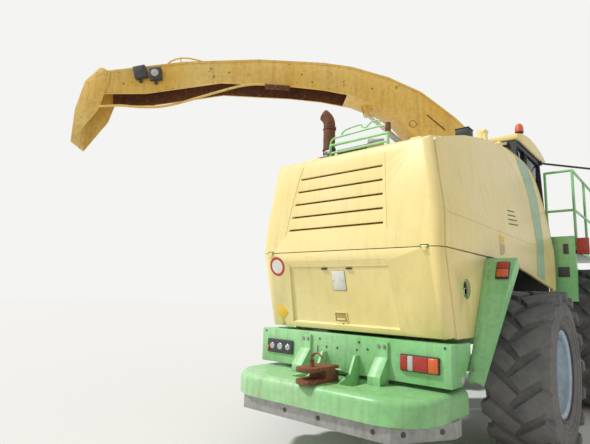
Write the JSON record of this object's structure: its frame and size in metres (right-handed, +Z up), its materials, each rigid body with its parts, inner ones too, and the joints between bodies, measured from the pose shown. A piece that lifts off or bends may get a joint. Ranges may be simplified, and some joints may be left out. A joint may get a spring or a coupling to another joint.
{
  "type": "self-propelled forage harvester",
  "caption": "Self-propelled forage harvester with rear steering, hinged hood panels, a hollow cab, a lifting feed house and a slewing, lifting discharge spout.",
  "frame": {"origin": "on the floor, under the centre of the bounding box with the spout swung 45 degrees to the left of straight back", "axes": "+Y forward along the machine, +X to its right, +Z up"},
  "size_m": [5.5076, 7.9826, 4.7],
  "materials": {
    "hood_paint": "satin cream paint, weathered",
    "green_paint": "faded green paint",
    "spout_paint": "worn golden yellow paint with rust",
    "galvanised": "dull galvanised steel",
    "rod_chrome": "polished rod",
    "rust": "rusted",
    "engine_iron": "dark grey",
    "rim_paint": "pale blue-grey paint with rust inside",
    "tyre_rubber": "dusty black rubber",
    "cab_trim": "dark grey",
    "seat_cloth": "woven cloth",
    "tinted_glass": "tinted",
    "lamp_plastic": "red and orange lamp lens"
  },
  "bodies": {
    "chassis": {"main_frame": "green_paint", "rear_crossmember": "green_paint", "counterweight": "green_paint", "underrun_bar": "galvanised", "tow_hitch": "rust", "rear_lamps": "lamp_plastic", "rear_axle": "green_paint", "front_axle": "green_paint", "engine_block": "engine_iron", "crop_duct": "galvanised", "hood_deck": "hood_paint", "lower_sides": "hood_paint", "arch_plates": "green_paint", "guard_rail": "green_paint", "exhaust": "rust", "fuel_tank": "cab_trim", "cab_body": "cab_trim", "cab_roof": "hood_paint", "cab_glass": "tinted_glass", "cab_seat": "seat_cloth", "cab_console": "cab_trim", "beacons": "lamp_plastic", "mirrors": "cab_trim", "platforms": "green_paint"},
    "knuckle_left": {"knuckle_l": "green_paint"},
    "knuckle_right": {"knuckle_r": "green_paint"},
    "wheel_rear_left": {"rear_rim_l": "rim_paint", "rear_tyre_l": "tyre_rubber"},
    "wheel_rear_right": {"rear_rim_r": "rim_paint", "rear_tyre_r": "tyre_rubber"},
    "wheel_front_left": {"front_rim_l": "rim_paint", "front_tyre_l": "tyre_rubber"},
    "wheel_front_right": {"front_rim_r": "rim_paint", "front_tyre_r": "tyre_rubber"},
    "tail_door": {"tail_hood": "hood_paint"},
    "flap": {"rear_flap": "hood_paint"},
    "side_left": {"side_panel_l": "hood_paint"},
    "side_right": {"side_panel_r": "hood_paint"},
    "door": {"cab_door": "cab_trim", "door_glass": "tinted_glass"},
    "feeder": {"feed_house": "green_paint"},
    "roll_upper": {"feed_roll_upper": "galvanised"},
    "roll_lower": {"feed_roll_lower": "galvanised"},
    "intake_cylinder": {"intake_barrels": "galvanised"},
    "intake_ram": {"intake_rods": "rod_chrome"},
    "slewing_ring": {"turret": "spout_paint"},
    "boom": {"spout": "spout_paint"},
    "tip": {"deflector": "spout_paint"},
    "lift_cylinder": {"lift_barrel": "galvanised"},
    "lift_ram": {"lift_rod": "rod_chrome"}
  },
  "joints": [
    {"name": "steer_left", "type": "hinge", "parent": "chassis", "child": "knuckle_left", "pos_m": [0.27876, -1.15874, 0.79], "axis": [0, 0, 1], "range_deg": [-28, 28]},
    {"name": "steer_right", "type": "hinge", "parent": "chassis", "child": "knuckle_right", "pos_m": [1.87876, -1.15874, 0.79], "axis": [0, 0, 1], "range_deg": [-28, 28]},
    {"name": "spin_rear_left", "type": "hinge", "parent": "knuckle_left", "child": "wheel_rear_left", "pos_m": [-0.14624, -1.15874, 0.79], "axis": [-1, 0, 0], "continuous": true},
    {"name": "spin_rear_right", "type": "hinge", "parent": "knuckle_right", "child": "wheel_rear_right", "pos_m": [2.30376, -1.15874, 0.79], "axis": [-1, 0, 0], "continuous": true},
    {"name": "spin_front_left", "type": "hinge", "parent": "chassis", "child": "wheel_front_left", "pos_m": [-0.24624, 1.94126, 1], "axis": [-1, 0, 0], "continuous": true},
    {"name": "spin_front_right", "type": "hinge", "parent": "chassis", "child": "wheel_front_right", "pos_m": [2.40376, 1.94126, 1], "axis": [-1, 0, 0], "continuous": true},
    {"name": "hood_hinge", "type": "hinge", "parent": "chassis", "child": "tail_door", "pos_m": [1.07876, -2.49474, 2.973], "axis": [-1, 0, 0], "range_deg": [0, 60]},
    {"name": "flap_hinge", "type": "hinge", "parent": "chassis", "child": "flap", "pos_m": [1.07876, -2.90374, 1.887], "axis": [-1, 0, 0], "range_deg": [0, 75]},
    {"name": "side_hinge_left", "type": "hinge", "parent": "chassis", "child": "side_left", "pos_m": [0.24376, -0.95374, 3.384], "axis": [0, 1, 0], "range_deg": [0, 75]},
    {"name": "side_hinge_right", "type": "hinge", "parent": "chassis", "child": "side_right", "pos_m": [1.91376, -0.95374, 3.384], "axis": [0, -1, 0], "range_deg": [0, 75]},
    {"name": "door_hinge", "type": "hinge", "parent": "chassis", "child": "door", "pos_m": [0.28676, 0.70126, 2.93], "axis": [0, 0, 1], "range_deg": [0, 80]},
    {"name": "feeder_lift", "type": "hinge", "parent": "chassis", "child": "feeder", "pos_m": [1.07876, 2.74126, 1.33], "axis": [1, 0, 0], "range_deg": [-8, 20]},
    {"name": "roll_upper_spin", "type": "hinge", "parent": "feeder", "child": "roll_upper", "pos_m": [1.07876, 3.54126, 1.165], "axis": [-1, 0, 0], "continuous": true},
    {"name": "roll_lower_spin", "type": "hinge", "parent": "feeder", "child": "roll_lower", "pos_m": [1.07876, 3.54126, 0.8], "axis": [1, 0, 0], "continuous": true},
    {"name": "slew", "type": "hinge", "parent": "chassis", "child": "slewing_ring", "pos_m": [1.07876, -0.15874, 3.4], "axis": [0, 0, 1], "range_deg": [-55, 145]},
    {"name": "boom_lift", "type": "hinge", "parent": "slewing_ring", "child": "boom", "pos_m": [1.18483, -0.05267, 3.66], "axis": [-0.7071, 0.7071, 0], "range_deg": [-4, 22]},
    {"name": "tip_tilt", "type": "hinge", "parent": "boom", "child": "tip", "pos_m": [-2.3401, -3.5776, 4.325], "axis": [-0.7071, 0.7071, 0], "range_deg": [-15, 60]},
    {"name": "intake_cylinder_pivot", "type": "hinge", "parent": "chassis", "child": "intake_cylinder", "pos_m": [1.07876, 2.40126, 0.7], "axis": [1, 0, 0], "range_deg": [-20, 20]},
    {"name": "intake_ram_slide", "type": "slide", "parent": "intake_cylinder", "child": "intake_ram", "axis": [0, 0.9903, -0.1386], "range_m": [-0.3, 0.5]},
    {"name": "lift_cylinder_pivot", "type": "hinge", "parent": "slewing_ring", "child": "lift_cylinder", "pos_m": [0.74642, -0.49108, 3.45], "axis": [-0.7071, 0.7071, 0], "range_deg": [-20, 30]},
    {"name": "lift_ram_slide", "type": "slide", "parent": "lift_cylinder", "child": "lift_ram", "axis": [-0.5514, -0.5514, 0.6259], "range_m": [-0.2, 0.5]}
  ],
  "couplings": [
    {"joint": "steer_right", "follows": "steer_left", "ratio": 1},
    {"joint": "roll_lower_spin", "follows": "roll_upper_spin", "ratio": 1},
    {"joint": "intake_cylinder_pivot", "follows": "feeder_lift", "ratio": 0.7275},
    {"joint": "intake_ram_slide", "follows": "feeder_lift", "m_per_rad": 0.6472},
    {"joint": "lift_cylinder_pivot", "follows": "boom_lift", "ratio": 1.228},
    {"joint": "lift_ram_slide", "follows": "boom_lift", "m_per_rad": 0.6019}
  ]
}
